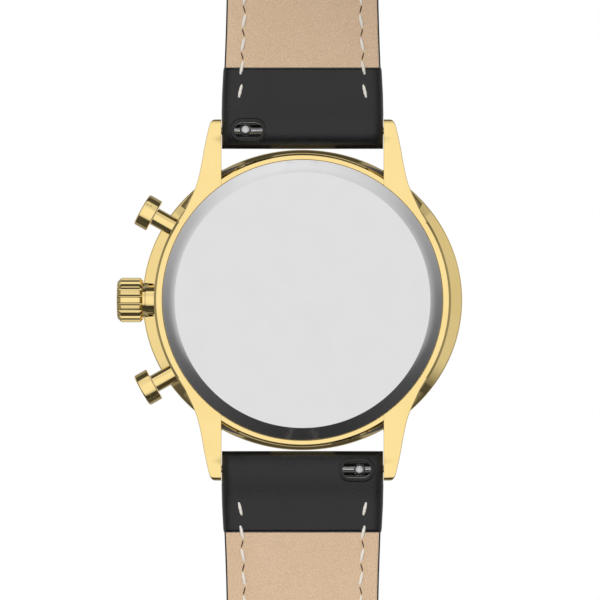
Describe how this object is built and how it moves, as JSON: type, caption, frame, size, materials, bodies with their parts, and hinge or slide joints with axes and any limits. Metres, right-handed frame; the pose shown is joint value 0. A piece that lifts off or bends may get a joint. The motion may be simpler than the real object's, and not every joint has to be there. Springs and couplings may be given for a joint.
{
  "type": "chronograph wristwatch",
  "caption": "Round gold-tone chronograph wristwatch with a bevelled steel case back, crown, pump pushers and a black leather strap on quick-release bars.",
  "frame": {"origin": "centre of the case back's flat outer face", "axes": "+Y out of the case back into the wrist, +Z to 12 o'clock, +X to the crown at 3 o'clock; the dial faces -Y"},
  "size_m": [0.0431, 0.0875, 0.1479],
  "materials": {
    "gold_case": "mirror-polished gold-tone plating over steel",
    "gold_hands": "polished gold-tone plating",
    "steel_back": "finely blasted steel with a polished bevel",
    "polished_steel": "polished steel",
    "spring_steel": "hardened steel",
    "strap_leather": "fine-grained semi-gloss black leather",
    "lining_leather": "matte beige lining leather",
    "gasket_rubber": "matte",
    "crystal_glass": "polished mineral glass",
    "dial_face": "satin lacquer on a brass disc",
    "movement_brass": "fine-turned",
    "circuit": "solder-masked board",
    "coil_copper": "enamelled winding",
    "holder_plastic": "moulded"
  },
  "bodies": {
    "case": {"mid_case": "gold_case", "bezel": "gold_case", "crystal": "crystal_glass", "crystal_gasket": "gasket_rubber", "inner_flange_ring": "gold_case", "case_back": "steel_back", "case_back_gasket": "gasket_rubber", "dial": "dial_face", "movement_holder": "holder_plastic", "main_plate": "movement_brass", "circuit_board": "circuit", "battery": "polished_steel", "battery_clamp": "spring_steel", "coil_1": "coil_copper", "coil_2": "coil_copper", "crown_tube": "gold_case", "pusher_2_tube": "gold_case", "pusher_4_tube": "gold_case", "pusher_2_spring": "spring_steel", "pusher_4_spring": "spring_steel"},
    "hour_hand": {"hour_hand": "gold_hands"},
    "minute_hand": {"minute_hand": "gold_hands"},
    "minute_wheel": {"minute_wheel": "movement_brass"},
    "chrono_seconds": {"chrono_seconds_hand": "gold_hands"},
    "chrono_minutes": {"chrono_minutes_hand": "gold_hands"},
    "small_seconds": {"small_seconds_hand": "gold_hands"},
    "hour24": {"hour24_hand": "gold_hands"},
    "setting_pinion": {"setting_pinion": "spring_steel"},
    "crown": {"crown": "gold_case", "winding_stem": "spring_steel", "crown_gasket": "gasket_rubber"},
    "setting_lever": {"setting_lever": "spring_steel"},
    "pusher_2": {"pusher_2_button": "gold_case", "pusher_2_gasket": "gasket_rubber", "pusher_2_clip": "spring_steel"},
    "pusher_4": {"pusher_4_button": "gold_case", "pusher_4_gasket": "gasket_rubber", "pusher_4_clip": "spring_steel"},
    "strap_12": {"strap_12_leather": "strap_leather", "strap_12_lining": "lining_leather", "fixed_keeper": "strap_leather", "bar_12_tube": "polished_steel", "bar_12_spring": "spring_steel"},
    "strap_6": {"strap_6_leather": "strap_leather", "strap_6_lining": "lining_leather", "bar_6_tube": "polished_steel", "bar_6_spring": "spring_steel"},
    "release_pin_12": {"bar_12_release_pin": "polished_steel"},
    "release_pin_6": {"bar_6_release_pin": "polished_steel"},
    "sliding_keeper": {"sliding_keeper": "strap_leather"},
    "buckle": {"buckle_frame": "gold_case", "buckle_bar": "polished_steel"},
    "tongue": {"buckle_tongue": "gold_case"}
  },
  "joints": [
    {"name": "strap_12_pivot", "type": "hinge", "parent": "case", "child": "strap_12", "pos_m": [0, -0.0022, 0.021], "axis": [-1, 0, 0], "range_deg": [-30, 12]},
    {"name": "strap_6_pivot", "type": "hinge", "parent": "case", "child": "strap_6", "pos_m": [0, -0.0022, -0.021], "axis": [1, 0, 0], "range_deg": [-30, 12]},
    {"name": "release_pin_12_pull", "type": "slide", "parent": "strap_12", "child": "release_pin_12", "axis": [-1, 0, 0], "range_m": [0, 0.0011], "stiffness_N_per_m": 400, "springref_m": -0.0005, "deforming": ["bar_12_spring"]},
    {"name": "release_pin_6_pull", "type": "slide", "parent": "strap_6", "child": "release_pin_6", "axis": [1, 0, 0], "range_m": [0, 0.0011], "stiffness_N_per_m": 400, "springref_m": -0.0005, "deforming": ["bar_6_spring"]},
    {"name": "crown_turn", "type": "hinge", "parent": "case", "child": "setting_pinion", "pos_m": [0.0122, -0.0043, 0], "axis": [1, 0, 0], "continuous": true},
    {"name": "crown_pull", "type": "slide", "parent": "setting_pinion", "child": "crown", "axis": [1, 0, 0], "range_m": [0, 0.001]},
    {"name": "setting_lever_turn", "type": "hinge", "parent": "case", "child": "setting_lever", "pos_m": [0.0095, -0.0034, 0.0032], "axis": [0, 1, 0], "range_deg": [-18, 0]},
    {"name": "pusher_2_press", "type": "slide", "parent": "case", "child": "pusher_2", "axis": [-0.8704, 0, -0.4924], "range_m": [0, 0.0008], "stiffness_N_per_m": 1500, "springref_m": -0.0004, "deforming": ["pusher_2_spring"]},
    {"name": "pusher_4_press", "type": "slide", "parent": "case", "child": "pusher_4", "axis": [-0.8704, 0, 0.4924], "range_m": [0, 0.0008], "stiffness_N_per_m": 1500, "springref_m": -0.0004, "deforming": ["pusher_4_spring"]},
    {"name": "minute_hand_turn", "type": "hinge", "parent": "case", "child": "minute_hand", "pos_m": [0, -0.0083, 0], "axis": [0, 1, 0], "continuous": true},
    {"name": "minute_wheel_turn", "type": "hinge", "parent": "case", "child": "minute_wheel", "pos_m": [-0.00175, -0.0064, 0.0025], "axis": [0, 1, 0], "continuous": true},
    {"name": "hour_hand_turn", "type": "hinge", "parent": "case", "child": "hour_hand", "pos_m": [0, -0.00805, 0], "axis": [0, 1, 0], "continuous": true},
    {"name": "hour24_hand_turn", "type": "hinge", "parent": "case", "child": "hour24", "pos_m": [0.0074, -0.00775, 0], "axis": [0, 1, 0], "continuous": true},
    {"name": "small_seconds_turn", "type": "hinge", "parent": "case", "child": "small_seconds", "pos_m": [0, -0.00775, -0.0074], "axis": [0, 1, 0], "continuous": true},
    {"name": "chrono_seconds_turn", "type": "hinge", "parent": "case", "child": "chrono_seconds", "pos_m": [0, -0.00855, 0], "axis": [0, 1, 0], "continuous": true},
    {"name": "chrono_minutes_turn", "type": "hinge", "parent": "case", "child": "chrono_minutes", "pos_m": [-0.0074, -0.00775, 0], "axis": [0, 1, 0], "continuous": true},
    {"name": "sliding_keeper_slide", "type": "hinge", "parent": "strap_12", "child": "sliding_keeper", "pos_m": [0, 0.04165, 0.02784], "axis": [-1, 0, 0], "range_deg": [-15.8, 5]},
    {"name": "buckle_swing", "type": "hinge", "parent": "strap_12", "child": "buckle", "pos_m": [0, 0.0416, 0.07124], "axis": [1, 0, 0], "range_deg": [-60, 30]},
    {"name": "tongue_lift", "type": "hinge", "parent": "buckle", "child": "tongue", "pos_m": [0, 0.0416, 0.07124], "axis": [1, 0, 0], "range_deg": [0, 85]}
  ],
  "couplings": [
    {"joint": "setting_lever_turn", "follows": "crown_pull", "rad_per_m": -312.5},
    {"joint": "minute_wheel_turn", "follows": "minute_hand_turn", "ratio": -0.33333},
    {"joint": "hour_hand_turn", "follows": "minute_hand_turn", "ratio": 0.083333},
    {"joint": "hour24_hand_turn", "follows": "minute_hand_turn", "ratio": 0.041667},
    {"joint": "chrono_minutes_turn", "follows": "chrono_seconds_turn", "ratio": 0.016667}
  ]
}
